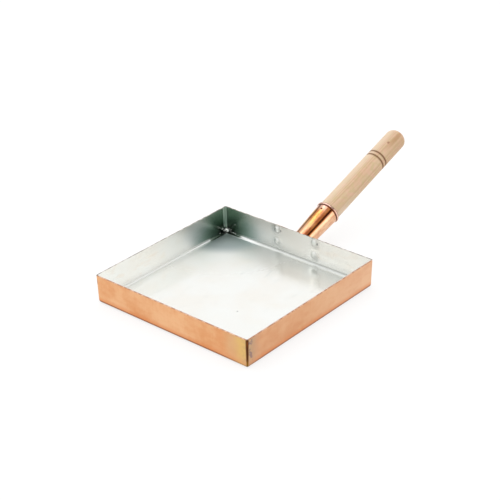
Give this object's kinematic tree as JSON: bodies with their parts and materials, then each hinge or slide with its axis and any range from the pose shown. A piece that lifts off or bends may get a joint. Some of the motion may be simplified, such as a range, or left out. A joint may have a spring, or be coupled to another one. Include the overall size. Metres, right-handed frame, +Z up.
{
  "type": "square omelette pan",
  "caption": "Square copper omelette pan with low leaning walls, a tin lining and a turned wooden handle in a rolled socket.",
  "frame": {"origin": "centre of the pan's flat underside, on the surface that it stands on", "axes": "+Z up, out of the open top; +X from the pan's centre towards the handle, which rises 19 degrees above it; +Y along the wall that carries the handle"},
  "size_m": [0.3493, 0.18, 0.0785],
  "materials": {
    "copper_sheet": "satin copper with straw-coloured heat tint at the corners",
    "brazing_brass": "darkened brass",
    "wiped_tin": "hand-wiped tin, soft sheen",
    "polished_copper": "polished copper",
    "rivet_copper": "copper, tinned over inside the pan",
    "nail_copper": "darkened copper",
    "handle_wood": "bare turned wood"
  },
  "bodies": {
    "root": {"pan_body": "copper_sheet", "corner_brazing": "brazing_brass", "tin_lining": "wiped_tin", "handle_socket": "polished_copper", "socket_rivets": "rivet_copper", "handle_nail": "nail_copper", "wooden_handle": "handle_wood"}
  },
  "joints": []
}
